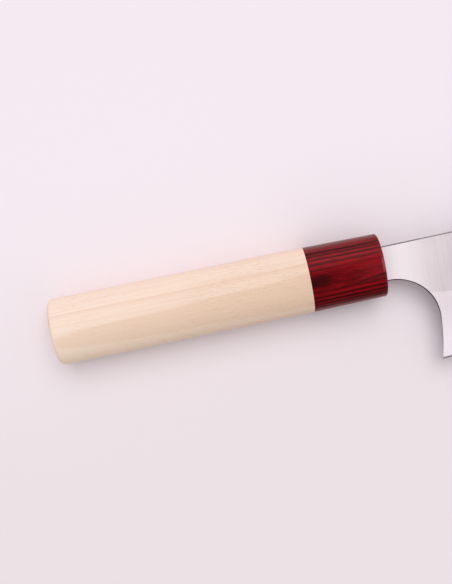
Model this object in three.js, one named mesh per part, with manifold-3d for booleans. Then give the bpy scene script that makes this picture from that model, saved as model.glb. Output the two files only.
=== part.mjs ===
// A gyuto, the Japanese cook's knife, with a plain oval wooden handle.
// Millimetres. The origin is the centre of the butt face. +X runs to the point, +Y from the
// cutting edge to the spine, and +Z out of the blade's right face.

import * as THREE from 'three';
import { mergeVertices } from 'three/addons/utils/BufferGeometryUtils.js';
import Module from 'manifold-3d';

// Handle, outside
const GRIP_LENGTH = 101;
const FERRULE_LENGTH = 29;
const BUTT_HEIGHT = 26.2;
const JOINT_HEIGHT = 25.7;
const MOUTH_HEIGHT = 24.9;
const OVAL_RATIO = 0.77; // thickness over height, all along the handle
const BUTT_ROUND = 1.8;
const MOUTH_ROUND = 0.7;
const HANDLE_SIDES = 72;
const ROUND_STEPS = 6;

// Tang, and what holds it in the handle
const TANG_LENGTH = 88;
const TANG_ROOT_HEIGHT = 8.5;
const TANG_END_HEIGHT = 5;
const TANG_END_CHAMFER = 1.6;
const TANG_THICKNESS = 1.8;
const TANG_IN_NECK = 3; // how far the tang's root runs on inside the neck
const RESIN_WALL = 0.5;
const BOND_LINE = 0.1; // left open between two bonded faces
const DOWEL_WALL = 1.3; // wood left outside the slot's corners
const DOWEL_IN_GRIP = 24;
const DOWEL_END_ROOM = 0.4;
const FERRULE_FRONT_WALL = 10;
const DOWEL_SIDES = 40;

// Blade, seen from its right side
const BLADE_LENGTH = 210; // heel to point, along X
const HEEL_HEIGHT = 49.3;
const SPINE_ABOVE_AXIS = 6.95; // at the mouth of the ferrule
const SPINE_RISE = THREE.MathUtils.degToRad(0.45);
const POINT_DROP = 17; // how far the point lies under the spine's straight line
const POINT_DROP_LENGTH = 95; // stretch over which the spine falls to the point
const POINT_DROP_POWER = 2.2;
const EDGE_RISE = THREE.MathUtils.degToRad(2.4);
const BELLY_POWER = 3.2; // higher keeps the edge flatter near the heel
const NECK_HEIGHT = 13.7;
const NECK_FLAT = 1.7; // straight underside, before the choil curves down
const CHOIL_REACH = 19.8; // from the ferrule to the deepest point of the choil
const CHOIL_CURVE_HEIGHT = 17.9;
const HEEL_SETBACK = 1.9; // the heel points back towards the handle by this much
const CHOIL_STEPS = 20;

// Blade, in section
const SPINE_THICKNESS = 2.1; // at the mouth of the ferrule
const POINT_THICKNESS = 0.9;
const SPINE_EASE = 0.25;
const GRIND_DEPTH = 23.3; // flat from the spine to the grind line, without the rise at the heel
const GRIND_RISE = 2.3; // how far the grind line rises towards the spine at the heel
const GRIND_RISE_REACH = 9; // the rise fades away over a few of these lengths
const GRIND_POWER = 1.6; // 1 is a flat bevel, and more is a rounder one that leaves no line
const GRIND_STEPS = 5;
const EDGE_SHOULDER = 0.36; // thickness where the edge bevel begins
const EDGE_BEVEL = 0.75;
const POINT_BLEND = 9; // the bevels shrink where the section is less deep than this
const BLADE_STATIONS = 60;
const STATION_CROWDING = 1.5; // over 1 brings the stations closer towards the point

// Places along X and Y
const JOINT_X = GRIP_LENGTH;
const MOUTH_X = JOINT_X + FERRULE_LENGTH;
const HEEL_X = MOUTH_X + CHOIL_REACH - HEEL_SETBACK;
const POINT_X = HEEL_X + BLADE_LENGTH;
const TANG_END_X = MOUTH_X - TANG_LENGTH;
const NECK_UNDERSIDE = SPINE_ABOVE_AXIS - NECK_HEIGHT;
const SLOT_HEIGHT = TANG_ROOT_HEIGHT + 2 * RESIN_WALL;
const SLOT_THICKNESS = TANG_THICKNESS + 2 * RESIN_WALL;
const SLOT_END_X = TANG_END_X - RESIN_WALL;
const DOWEL_RADIUS = Math.hypot(SLOT_HEIGHT, SLOT_THICKNESS) / 2 + DOWEL_WALL;
const DOWEL_BORE_RADIUS = DOWEL_RADIUS + BOND_LINE;
const GRIP_BORE_END_X = JOINT_X - DOWEL_IN_GRIP;
const FERRULE_BORE_END_X = MOUTH_X - FERRULE_FRONT_WALL;
const CUT_PAST = 1; // how far a cutting solid runs past the face that it opens
const MERGE_DISTANCE = 1e-5;

const wasm = await Module();
wasm.setup();

// A closed geometry as a solid that can be cut and joined.
function solidOf(geometry) {
  geometry.deleteAttribute('normal');
  geometry.deleteAttribute('uv');
  const merged = mergeVertices(geometry, MERGE_DISTANCE);
  const vertProperties = new Float32Array(merged.attributes.position.array);
  const triVerts = new Uint32Array(merged.index.array);
  return new wasm.Manifold(new wasm.Mesh({ numProp: 3, vertProperties, triVerts }));
}

function geometryOf(solid) {
  const mesh = solid.getMesh();
  const geometry = new THREE.BufferGeometry();
  geometry.setAttribute('position', new THREE.BufferAttribute(mesh.vertProperties, 3));
  geometry.setIndex(new THREE.BufferAttribute(mesh.triVerts, 1));
  geometry.computeVertexNormals();
  return geometry;
}

// A turned profile of [x, radius] points about the X axis, squeezed in Z to the handle's oval.
function ovalTurning(profile) {
  const points = profile.map(([x, radius]) => new THREE.Vector2(radius, x));
  const geometry = new THREE.LatheGeometry(points, HANDLE_SIDES);
  geometry.rotateZ(-Math.PI / 2);
  geometry.scale(1, 1, OVAL_RATIO);
  return solidOf(geometry);
}

function roundBar(radius, fromX, toX) {
  const geometry = new THREE.CylinderGeometry(radius, radius, toX - fromX, DOWEL_SIDES);
  geometry.rotateZ(-Math.PI / 2);
  geometry.translate((fromX + toX) / 2, 0, 0);
  return solidOf(geometry);
}

function flatBar(height, thickness, fromX, toX) {
  const geometry = new THREE.BoxGeometry(toX - fromX, height, thickness);
  geometry.translate((fromX + toX) / 2, 0, 0);
  return solidOf(geometry);
}

// An outline in the XY plane, extruded to a plate that is centred on that plane.
function plate(shape, thickness) {
  const geometry = new THREE.ExtrudeGeometry(shape, {
    depth: thickness,
    bevelEnabled: false,
    curveSegments: CHOIL_STEPS,
  });
  geometry.translate(0, 0, -thickness / 2);
  return solidOf(geometry);
}

// A skin over rings of points, from a flat first ring to a single last point.
function loftToPoint(rings, lastPoint) {
  const sides = rings[0].length;
  const positions = [...rings.flat(), lastPoint].flatMap((point) => point.toArray());
  const indices = [];
  rings.forEach((ring, r) => {
    ring.forEach((_, k) => {
      const here = r * sides + k;
      const next = r * sides + ((k + 1) % sides);
      if (r === rings.length - 1) {
        indices.push(here, next, rings.length * sides);
      } else {
        indices.push(here, next, next + sides, here, next + sides, here + sides);
      }
    });
  });
  const flatRing = rings[0].map((point) => new THREE.Vector2(point.y, point.z));
  THREE.ShapeUtils.triangulateShape(flatRing, []).forEach(([a, b, c]) => indices.push(a, c, b));
  const geometry = new THREE.BufferGeometry();
  geometry.setAttribute('position', new THREE.Float32BufferAttribute(positions, 3));
  geometry.setIndex(indices);
  return solidOf(geometry);
}

// Quarter round on the rim of a turned profile, as [x, radius] points, clockwise.
function quarterRound(centreX, centreRadius, size, startAngle) {
  return Array.from({ length: ROUND_STEPS + 1 }, (_, step) => {
    const angle = startAngle - (step / ROUND_STEPS) * (Math.PI / 2);
    return [centreX + size * Math.cos(angle), centreRadius + size * Math.sin(angle)];
  });
}

// Blade outline

function spineLine(x) {
  return SPINE_ABOVE_AXIS + Math.tan(SPINE_RISE) * (x - MOUTH_X);
}

function spineAt(x) {
  const along = Math.max(0, (x - POINT_X + POINT_DROP_LENGTH) / POINT_DROP_LENGTH);
  return spineLine(x) - POINT_DROP * along ** POINT_DROP_POWER;
}

function edgeAt(x) {
  const heelY = spineAt(HEEL_X) - HEEL_HEIGHT;
  const straight = heelY + Math.tan(EDGE_RISE) * (x - HEEL_X);
  const rise = spineAt(POINT_X) - heelY - Math.tan(EDGE_RISE) * BLADE_LENGTH;
  const along = Math.max(0, (x - HEEL_X) / BLADE_LENGTH);
  return straight + rise * along ** BELLY_POWER;
}

// Blade section at x: down the right face from the spine to the edge, and up the left face.
function bladeSection(x) {
  const top = spineAt(x);
  const bottom = edgeAt(x);
  const depth = top - bottom;
  const shrink = Math.min(1, depth / POINT_BLEND);
  const along = (x - MOUTH_X) / (POINT_X - MOUTH_X);
  const half = THREE.MathUtils.lerp(SPINE_THICKNESS, POINT_THICKNESS, along) / 2;
  const ease = SPINE_EASE * shrink;
  const rise = GRIND_RISE * Math.exp((HEEL_X - x) / GRIND_RISE_REACH);
  const grindY = Math.min(top - depth * (GRIND_DEPTH / HEEL_HEIGHT) + rise, top - 2 * ease);
  const shoulderY = bottom + EDGE_BEVEL * shrink;
  const shoulderHalf = EDGE_SHOULDER / 2;
  const bevel = Array.from({ length: GRIND_STEPS }, (_, step) => {
    const down = (step + 1) / GRIND_STEPS;
    const z = THREE.MathUtils.lerp(half, shoulderHalf, down ** GRIND_POWER);
    return [THREE.MathUtils.lerp(grindY, shoulderY, down), z];
  });
  const rightFace = [[top, half - ease], [top - ease, half], [grindY, half], ...bevel];
  const leftFace = rightFace.map(([y, z]) => [y, -z]).reverse();
  const outline = [...rightFace, [bottom, 0], ...leftFace];
  return outline.map(([y, z]) => new THREE.Vector3(x, y, z));
}

// What is cut away under the neck and behind the heel.
function choilOutline() {
  const choilX = MOUTH_X + CHOIL_REACH;
  const curveEndY = NECK_UNDERSIDE - CHOIL_CURVE_HEIGHT;
  const heelY = edgeAt(HEEL_X);
  const belowY = heelY - HEEL_HEIGHT;
  const radiusX = CHOIL_REACH - NECK_FLAT;
  const shape = new THREE.Shape();
  shape.moveTo(MOUTH_X - CUT_PAST, NECK_UNDERSIDE);
  shape.lineTo(MOUTH_X - CUT_PAST, belowY);
  shape.lineTo(HEEL_X - HEEL_SETBACK, belowY);
  shape.lineTo(HEEL_X, heelY);
  shape.quadraticCurveTo(choilX, (curveEndY + heelY) / 2, choilX, curveEndY);
  shape.absellipse(MOUTH_X + NECK_FLAT, curveEndY, radiusX, CHOIL_CURVE_HEIGHT, 0, Math.PI / 2, false, 0);
  return shape;
}

// The stick tang, grown by a margin all round.
function tangSolid(margin) {
  const rootX = MOUTH_X + TANG_IN_NECK;
  const endX = TANG_END_X - margin;
  const rootHalf = TANG_ROOT_HEIGHT / 2 + margin;
  const endHalf = TANG_END_HEIGHT / 2 + margin;
  const shape = new THREE.Shape();
  shape.moveTo(rootX, rootHalf);
  shape.lineTo(endX + TANG_END_CHAMFER, endHalf);
  shape.lineTo(endX, endHalf - TANG_END_CHAMFER);
  shape.lineTo(endX, TANG_END_CHAMFER - endHalf);
  shape.lineTo(endX + TANG_END_CHAMFER, -endHalf);
  shape.lineTo(rootX, -rootHalf);
  return plate(shape, TANG_THICKNESS + 2 * margin);
}

function bladeSolid() {
  const reach = POINT_X - MOUTH_X;
  const rings = Array.from({ length: BLADE_STATIONS }, (_, step) => {
    const left = (1 - step / BLADE_STATIONS) ** STATION_CROWDING;
    return bladeSection(POINT_X - reach * left);
  });
  const ground = loftToPoint(rings, new THREE.Vector3(POINT_X, spineAt(POINT_X), 0));
  const choil = plate(choilOutline(), 2 * SPINE_THICKNESS);
  return ground.subtract(choil).add(tangSolid(0));
}

function gripSolid() {
  const buttRadius = BUTT_HEIGHT / 2;
  const outside = ovalTurning([
    [0, 0],
    ...quarterRound(BUTT_ROUND, buttRadius - BUTT_ROUND, BUTT_ROUND, Math.PI),
    [JOINT_X, JOINT_HEIGHT / 2],
    [JOINT_X, 0],
  ]);
  const dowelBore = roundBar(DOWEL_BORE_RADIUS, GRIP_BORE_END_X, JOINT_X + CUT_PAST);
  const tangHole = flatBar(SLOT_HEIGHT, SLOT_THICKNESS, SLOT_END_X, JOINT_X + CUT_PAST);
  return outside.subtract(dowelBore).subtract(tangHole);
}

function ferruleSolid() {
  const mouthRadius = MOUTH_HEIGHT / 2;
  const outside = ovalTurning([
    [JOINT_X, 0],
    [JOINT_X, JOINT_HEIGHT / 2],
    ...quarterRound(MOUTH_X - MOUTH_ROUND, mouthRadius - MOUTH_ROUND, MOUTH_ROUND, Math.PI / 2),
    [MOUTH_X, 0],
  ]);
  const dowelBore = roundBar(DOWEL_BORE_RADIUS, JOINT_X - CUT_PAST, FERRULE_BORE_END_X);
  const tangSlot = flatBar(SLOT_HEIGHT, SLOT_THICKNESS, JOINT_X - CUT_PAST, MOUTH_X + CUT_PAST);
  return outside.subtract(dowelBore).subtract(tangSlot);
}

function dowelSolid() {
  const fromX = GRIP_BORE_END_X + DOWEL_END_ROOM;
  const toX = FERRULE_BORE_END_X - DOWEL_END_ROOM;
  const slot = flatBar(SLOT_HEIGHT, SLOT_THICKNESS, fromX - CUT_PAST, toX + CUT_PAST);
  return roundBar(DOWEL_RADIUS, fromX, toX).subtract(slot);
}

function resinSolid() {
  const height = SLOT_HEIGHT - 2 * BOND_LINE;
  const thickness = SLOT_THICKNESS - 2 * BOND_LINE;
  const filling = flatBar(height, thickness, SLOT_END_X + BOND_LINE, MOUTH_X - BOND_LINE);
  return filling.subtract(tangSolid(BOND_LINE));
}

const STEEL = { color: 0xd9d3d6, roughness: 0.25, metalness: 1 };
const MAGNOLIA = { color: 0xf0d4bf, roughness: 0.65, metalness: 0 };
const RED_VENEERS = { color: 0x75161d, roughness: 0.3, metalness: 0 };
const HARDWOOD = { color: 0xc9a477, roughness: 0.75, metalness: 0 };
const RESIN = { color: 0xd8c79a, roughness: 0.35, metalness: 0 };

const knife = new THREE.Group();

function addPiece(name, solid, finish) {
  const mesh = new THREE.Mesh(geometryOf(solid), new THREE.MeshStandardMaterial(finish));
  mesh.name = name;
  knife.add(mesh);
}

addPiece('blade', bladeSolid(), STEEL);
addPiece('grip', gripSolid(), MAGNOLIA);
addPiece('ferrule', ferruleSolid(), RED_VENEERS);
addPiece('dowel', dowelSolid(), HARDWOOD);
addPiece('tang_resin', resinSolid(), RESIN);

export default knife;
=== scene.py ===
"""Looks of a gyuto, the Japanese cook's knife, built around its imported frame.

Metres. The origin is the centre of the butt face. +X runs to the point, +Y from the cutting edge
to the spine, and +Z out of the blade's right face.
"""

import logging
import math
from collections.abc import Callable, Iterable
from dataclasses import dataclass, field
from enum import Enum

import bmesh
import bpy
from mathutils import Matrix, Vector


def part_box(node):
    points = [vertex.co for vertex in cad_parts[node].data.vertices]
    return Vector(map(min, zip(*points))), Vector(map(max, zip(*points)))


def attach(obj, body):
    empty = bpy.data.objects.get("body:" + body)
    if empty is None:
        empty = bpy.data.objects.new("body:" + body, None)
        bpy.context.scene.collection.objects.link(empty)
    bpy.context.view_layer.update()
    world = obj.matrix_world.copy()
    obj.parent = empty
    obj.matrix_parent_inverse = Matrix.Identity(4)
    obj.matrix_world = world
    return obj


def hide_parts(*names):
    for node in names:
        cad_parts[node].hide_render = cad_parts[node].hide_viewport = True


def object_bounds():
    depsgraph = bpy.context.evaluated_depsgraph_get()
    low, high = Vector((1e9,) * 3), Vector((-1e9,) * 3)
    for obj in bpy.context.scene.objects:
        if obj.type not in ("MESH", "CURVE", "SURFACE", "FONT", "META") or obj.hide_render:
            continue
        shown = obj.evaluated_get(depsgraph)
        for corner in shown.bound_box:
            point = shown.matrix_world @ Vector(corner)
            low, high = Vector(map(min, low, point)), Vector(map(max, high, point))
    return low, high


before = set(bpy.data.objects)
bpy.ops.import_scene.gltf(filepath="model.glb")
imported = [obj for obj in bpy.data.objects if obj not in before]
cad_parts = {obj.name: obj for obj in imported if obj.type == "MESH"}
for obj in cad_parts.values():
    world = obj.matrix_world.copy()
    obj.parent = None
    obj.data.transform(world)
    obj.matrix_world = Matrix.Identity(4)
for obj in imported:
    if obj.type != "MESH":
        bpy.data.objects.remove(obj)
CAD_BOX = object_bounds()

LOG = logging.getLogger("gyuto")
BODY = "root"
MM = 0.001
TANG_LENGTH = 88.0 * MM
NOISE_MIDDLE = 0.5

Colour = tuple[float, float, float, float]
Stops = list[tuple[float, Colour]]
Point2 = tuple[float, float]
Point3 = tuple[float, float, float]
Socket = bpy.types.NodeSocket
Sockets = dict[str | int, object]

WHITE: Colour = (1.0, 1.0, 1.0, 1.0)


def srgb(red: int, green: int, blue: int) -> Colour:
    """Turns a colour as a screen shows it into the linear one that shaders use.

    Args:
        red: red, from 0 to 255.
        green: green, from 0 to 255.
        blue: blue, from 0 to 255.

    Returns:
        The linear colour, opaque.
    """
    def linear(level: int) -> float:
        """One channel, by the standard sRGB curve."""
        share = level / 255
        return share / 12.92 if share <= 0.04045 else ((share + 0.055) / 1.055) ** 2.4

    return linear(red), linear(green), linear(blue), 1.0


def lerp(start: "Value | float", end: "Value | float", share: "Value | float") -> "Value | float":
    """The value that lies this share of the way from start to end."""
    return start + (end - start) * share


def rear_x(node: str) -> float:
    """Where a CAD node starts along X."""
    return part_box(node)[0].x


def front_x(node: str) -> float:
    """Where a CAD node ends along X."""
    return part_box(node)[1].x


# Node trees

class Value:
    """A number that flows through a node tree, so that node maths reads as arithmetic."""

    def __init__(self, graph: "Graph", socket: Socket) -> None:
        """Wraps one output socket of a tree."""
        self.graph = graph
        self.socket = socket

    def __add__(self, other: "Value | float") -> "Value":
        """Sum."""
        return self.graph.math("ADD", self, other)

    __radd__ = __add__

    def __sub__(self, other: "Value | float") -> "Value":
        """Difference."""
        return self.graph.math("SUBTRACT", self, other)

    def __rsub__(self, other: float) -> "Value":
        """Difference, from a plain number."""
        return self.graph.math("SUBTRACT", other, self)

    def __mul__(self, other: "Value | float") -> "Value":
        """Product."""
        return self.graph.math("MULTIPLY", self, other)

    __rmul__ = __mul__

    def __truediv__(self, other: "Value | float") -> "Value":
        """Quotient."""
        return self.graph.math("DIVIDE", self, other)

    def __rtruediv__(self, other: float) -> "Value":
        """Quotient, of a plain number."""
        return self.graph.math("DIVIDE", other, self)

    def __neg__(self) -> "Value":
        """The value with its sign turned."""
        return 0 - self

    def __abs__(self) -> "Value":
        """The value without its sign."""
        return self.graph.math("ABSOLUTE", self)


class Graph:
    """A node tree under construction."""

    def __init__(self, tree: bpy.types.NodeTree) -> None:
        """Starts on a tree."""
        self.tree = tree

    def node(self, kind: str, settings: dict[str, object] | None = None,
             sockets: Sockets | None = None) -> bpy.types.Node:
        """Adds one node.

        Args:
            kind: the node's type.
            settings: its settings, set first; "stops" are a ramp's places with their colours.
            sockets: what feeds its inputs.

        Returns:
            The new node.
        """
        node = self.tree.nodes.new(kind)
        for name, setting in (settings or {}).items():
            if name == "stops":
                self._set_stops(node.color_ramp, setting)
            else:
                setattr(node, name, setting)
        self.feed(node, sockets or {})
        return node

    def feed(self, node: bpy.types.Node, sockets: Sockets) -> None:
        """Sets or links inputs of a node.

        Args:
            node: the node.
            sockets: a value, a socket or a constant for each input, by its name or index.
        """
        for key, source in sockets.items():
            target = self._pick(node.inputs, key)
            if isinstance(source, Value):
                source = source.socket
            if isinstance(source, Socket):
                self.tree.links.new(source, target)
            else:
                target.default_value = source

    def output(self, node: bpy.types.Node, key: str | int = 0) -> Value:
        """An output of a node, as a value."""
        return Value(self, self._pick(node.outputs, key))

    def math(self, operation: str, *operands: Value | float) -> Value:
        """One Math node on values and plain numbers."""
        node = self.node("ShaderNodeMath", {"operation": operation}, dict(enumerate(operands)))
        return self.output(node)

    def diagonal(self, first: Value, second: Value) -> Value:
        """How long the diagonal over two lengths is."""
        return self.math("SQRT", first * first + second * second)

    def vector(self, x: Value | float, y: Value | float, z: Value | float) -> Socket:
        """Three values as one vector."""
        return self.node("ShaderNodeCombineXYZ", sockets={"X": x, "Y": y, "Z": z}).outputs[0]

    def split(self, vector: Socket) -> tuple[Value, Value, Value]:
        """The three values of a vector."""
        node = self.node("ShaderNodeSeparateXYZ", sockets={"Vector": vector})
        return self.output(node, "X"), self.output(node, "Y"), self.output(node, "Z")

    def millimetres(self) -> tuple[Value, Value, Value]:
        """Where the shaded point lies on its piece.

        Returns:
            The piece's own x, y and z, in millimetres.
        """
        place = self.node("ShaderNodeTexCoord").outputs["Object"]
        scaled = self.node("ShaderNodeVectorMath", {"operation": "SCALE"}, {0: place, "Scale": 1 / MM})
        return self.split(scaled.outputs["Vector"])

    def ramp(self, value: Value, stops: Stops) -> Socket:
        """The colour at a value from 0 to 1 along a row of stops."""
        return self.node("ShaderNodeValToRGB", {"stops": stops}, {"Fac": value}).outputs["Color"]

    def mix(self, share: Value | float, first: Colour | Socket, second: Colour | Socket,
            blend: str = "MIX") -> Socket:
        """Blends two colours.

        Args:
            share: how much of the second colour, from 0 to 1.
            first: the first colour, or its socket.
            second: the second colour, or its socket.
            blend: how the second one acts on the first.

        Returns:
            The socket of the blended colour.
        """
        settings = {"data_type": "RGBA", "blend_type": blend}
        node = self.node("ShaderNodeMix", settings, {"Factor": share, "A": first, "B": second})
        return self._pick(node.outputs, "Result")

    def bump(self, height: Value, depth: float, strength: float) -> Socket:
        """A normal that is tilted by a height from 0 to 1, which stands for a depth in millimetres."""
        sockets = {"Height": height, "Distance": depth * MM, "Strength": strength}
        return self.node("ShaderNodeBump", sockets=sockets).outputs["Normal"]

    @staticmethod
    def _pick(sockets: bpy.types.bpy_prop_collection, key: str | int) -> Socket:
        """Finds a socket.

        Args:
            sockets: a node's inputs or outputs.
            key: the socket's index or its name.

        Returns:
            The socket with that index, or the one in use with that name.
        """
        if isinstance(key, int):
            return sockets[key]
        return next(socket for socket in sockets if socket.enabled and socket.name == key)

    @staticmethod
    def _set_stops(ramp: bpy.types.ColorRamp, stops: Stops) -> None:
        """Gives a colour ramp its stops.

        Args:
            ramp: the new ramp.
            stops: the places, from 0 to 1, with their colours.
        """
        while len(ramp.elements) < len(stops):
            ramp.elements.new(1.0)
        for element, (place, colour) in zip(ramp.elements, stops):
            element.position = place
            element.color = colour


@dataclass(frozen=True)
class Grain:
    """Noise that is stretched along the axes, as fibres and grinding lines are.

    The first three fields say how often it changes in a millimetre along each axis.
    """

    along_x: float
    along_y: float
    along_z: float
    detail: float = 2.0
    roughness: float = 0.5

    def at(self, x: Value, y: Value, z: Value) -> Value:
        """The noise at a place.

        Args:
            x: the place along the first axis, in millimetres.
            y: the place along the second axis.
            z: the place along the third axis.

        Returns:
            A value from 0 to 1, mostly near the middle.
        """
        graph = x.graph
        place = graph.vector(x * self.along_x, y * self.along_y, z * self.along_z)
        node = graph.node("ShaderNodeTexNoise", sockets={
            "Vector": place, "Scale": 1.0, "Detail": self.detail, "Roughness": self.roughness})
        return graph.output(node, "Fac")

    def swing(self, x: Value, y: Value, z: Value) -> Value:
        """The noise at a place, as a swing about zero."""
        return self.at(x, y, z) - NOISE_MIDDLE


@dataclass(frozen=True)
class Fade:
    """A soft change between two values, up to a strength."""

    low: float
    high: float
    strength: float = 1.0

    def rise(self, value: Value) -> Value:
        """0 below the low value, and the strength above the high one."""
        return self._step(value) * self.strength

    def fall(self, value: Value) -> Value:
        """The strength below the low value, and 0 above the high one."""
        return (1 - self._step(value)) * self.strength

    def _step(self, value: Value) -> Value:
        """The change itself.

        Args:
            value: the value that decides.

        Returns:
            A value from 0 to 1.
        """
        sockets = {"Value": value, "From Min": self.low, "From Max": self.high}
        node = value.graph.node("ShaderNodeMapRange", {"interpolation_type": "SMOOTHSTEP"}, sockets)
        return value.graph.output(node)


# Finishes

@dataclass(frozen=True)
class Finish:
    """A surface finish, which becomes one material. The sizes of all finishes are in millimetres."""

    name: str = "finish"

    def constants(self) -> Sockets:
        """The shader's values that are the same all over the surface."""
        return {}

    def paint(self, graph: Graph) -> Sockets:
        """Makes what changes over the surface.

        Args:
            graph: the material's node tree.

        Returns:
            What feeds the shader's inputs, by their names.
        """
        raise NotImplementedError

    def material(self) -> bpy.types.Material:
        """Makes the material.

        Returns:
            The new material.
        """
        material = bpy.data.materials.new(self.name)
        material.use_nodes = True
        material.node_tree.nodes.clear()
        graph = Graph(material.node_tree)
        shader = graph.node("ShaderNodeBsdfPrincipled", sockets=self.constants())
        graph.node("ShaderNodeOutputMaterial", sockets={"Surface": shader.outputs["BSDF"]})
        graph.feed(shader, self.paint(graph))
        return material


@dataclass(frozen=True)
class Magnolia(Finish):
    """Pale, plain wood, sanded smooth and left bare."""

    name: str = "magnolia_sanded"
    cream: Colour = srgb(247, 223, 208)
    pale: Colour = srgb(249, 224, 208)
    late: Colour = srgb(240, 211, 193)
    tan: Colour = srgb(242, 213, 192)
    fibre_tone: Colour = srgb(234, 203, 180)
    fleck: Colour = srgb(212, 177, 153)
    toward_ferrule: Colour = srgb(244, 240, 234)
    # Partly painted: a yellowish wood zone on the lower side, which also offsets the pink light its shade
    # gets from the floor.
    underside: Colour = srgb(248, 227, 200)
    end_grain: Colour = srgb(226, 194, 168)
    shine: float = 0.15
    length: float = field(default_factory=lambda: front_x("grip") / MM)
    pith_side: float = 8.4
    pith_depth: float = 50.0
    pith_fall: float = 0.0101
    outer_ring: float = 60.66
    outer_edge: Fade = Fade(-0.04, 0.20)
    layers_shown: float = 4.5
    layer_reach: float = 3.33
    inner_fall: float = 0.80
    wander: Grain = Grain(0.016, 0.06, 0.06, detail=1)
    layer_wander: float = 0.9
    rings: Grain = Grain(0.55, 0.0, 0.0)
    late_rings: Fade = Fade(0.40, 0.70, 0.25)
    deep: Fade = Fade(-4.5, -2.5)
    fibre: Grain = Grain(0.03, 1.1, 1.1, detail=4, roughness=0.6)
    dark_fibre: Fade = Fade(0.42, 0.78, 0.45)
    underside_from: Fade = Fade(6.6, 7.4, 0.7)
    underside_fall: float = 0.014
    underside_wander: float = 2.0
    pore: Grain = Grain(0.40, 2.3, 2.3, detail=3, roughness=0.6)
    dark_pore: Fade = Fade(0.48, 0.70, 0.34)
    patch: Grain = Grain(0.03, 0.10, 0.10, detail=1)
    patch_from: Fade = Fade(0.46, 0.70)
    patch_gain: float = 0.2
    upper_side: Fade = Fade(6.0, 11.0, 0.6)
    butt: Fade = Fade(0.15, 0.8)
    butt_tone: float = 0.25
    arcs: Grain = Grain(1.1, 0.05, 0.05, detail=3, roughness=0.6)
    dark_arcs: Fade = Fade(0.42, 0.62, 0.36)
    vessels: Grain = Grain(1.0, 4.2, 4.2, roughness=0.6)
    dark_vessels: Fade = Fade(0.52, 0.72, 0.24)
    roughness: float = 0.55
    roughness_spread: float = 0.16
    fibre_relief: float = 0.6
    relief: float = 0.05
    relief_strength: float = 0.3

    def constants(self) -> Sockets:
        """Bare wood has a weak, broad shine."""
        return {"Specular IOR Level": self.shine}

    def layers(self) -> Stops:
        """The growth layers from the inner ones out, by their places."""
        return [(0.12, self.cream), (0.18, self.pale), (0.22, self.late), (0.42, self.pale)]

    def paint(self, graph: Graph) -> Sockets:
        """Growth layers about a pith outside the handle, fibres along it, flecks and end grain.

        Args:
            graph: the material's node tree.

        Returns:
            What feeds the shader's inputs, by their names.
        """
        x, y, z = graph.millimetres()
        along = x / self.length
        wander = self.wander.swing(x, y, z)
        depth = z + self.pith_depth + self.pith_fall * x
        layer = graph.diagonal(y - self.pith_side, depth) - self.outer_ring + wander * self.layer_wander
        wood = self._growth(graph, layer, along)
        fibre = self.fibre.at(x, y, z)
        wood = graph.mix(self.dark_fibre.rise(fibre), wood, self.fibre_tone)
        # Partly painted: the lower side's yellowish zone also offsets the pink light in its shade.
        below = wander * self.underside_wander - y - x * self.underside_fall
        wood = graph.mix(self.underside_from.rise(below) * (1 - along), wood, self.underside)
        pore = self.pore.at(x, y, z)
        patch = self.patch_from.rise(self.patch.at(x, y, z) + along * self.patch_gain)
        wood = graph.mix(self.dark_pore.rise(pore) * patch, wood, self.fleck)
        shaded = along * (1 - self.upper_side.rise(y))
        wood = graph.mix(shaded, wood, self.toward_ferrule, "MULTIPLY")
        arcs = self.dark_arcs.rise(self.arcs.at(layer, y, z))
        vessels = self.dark_vessels.rise(self.vessels.at(x, y, z))
        wood = graph.mix(self.butt.fall(x) * (self.butt_tone + arcs + vessels), wood, self.end_grain)
        height = lerp(pore, fibre, self.fibre_relief)
        return {
            "Base Color": wood,
            "Roughness": self.roughness + fibre * self.roughness_spread,
            "Normal": graph.bump(height, self.relief, self.relief_strength)}

    def _growth(self, graph: Graph, layer: Value, along: Value) -> Socket:
        """Colours the growth layers.

        Args:
            graph: the material's node tree.
            layer: how far out from the outermost whole layer the place lies.
            along: the place along the grip, from 0 at the butt to 1 at the ferrule.

        Returns:
            The socket of the colour.
        """
        place = (layer - along * self.inner_fall + self.layer_reach) / self.layers_shown
        wood = graph.ramp(place, self.layers())
        wood = graph.mix(self.outer_edge.rise(layer), wood, self.tan)
        rings = self.late_rings.rise(self.rings.at(layer, layer, layer))
        return graph.mix(rings * self.deep.fall(layer), wood, self.late)


@dataclass(frozen=True)
class Figure:
    """Grain that darkens the wood where it is high and brightens it where it is low."""

    grain: Grain
    dark: Fade
    bright: Fade


@dataclass(frozen=True)
class Patch:
    """A soft patch about a line, which starts somewhere along the ferrule and runs to its mouth."""

    start: Fade
    line: float
    reach: Fade

    def at(self, along: Value, y: Value) -> Value:
        """How strongly the patch shows at a place."""
        return self.start.rise(along) * self.reach.fall(abs(y - self.line))


@dataclass(frozen=True)
class FerruleSpot:
    """A shaded point on the ferrule.

    Along is 0 at the joint and 1 at the mouth, late is 0 as far as the veneers run straight and 1 at
    the mouth, and upper is 1 on the side that faces up.
    """

    x: Value
    y: Value
    z: Value
    along: Value
    late: Value
    upper: Value
    jag: Value


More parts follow.
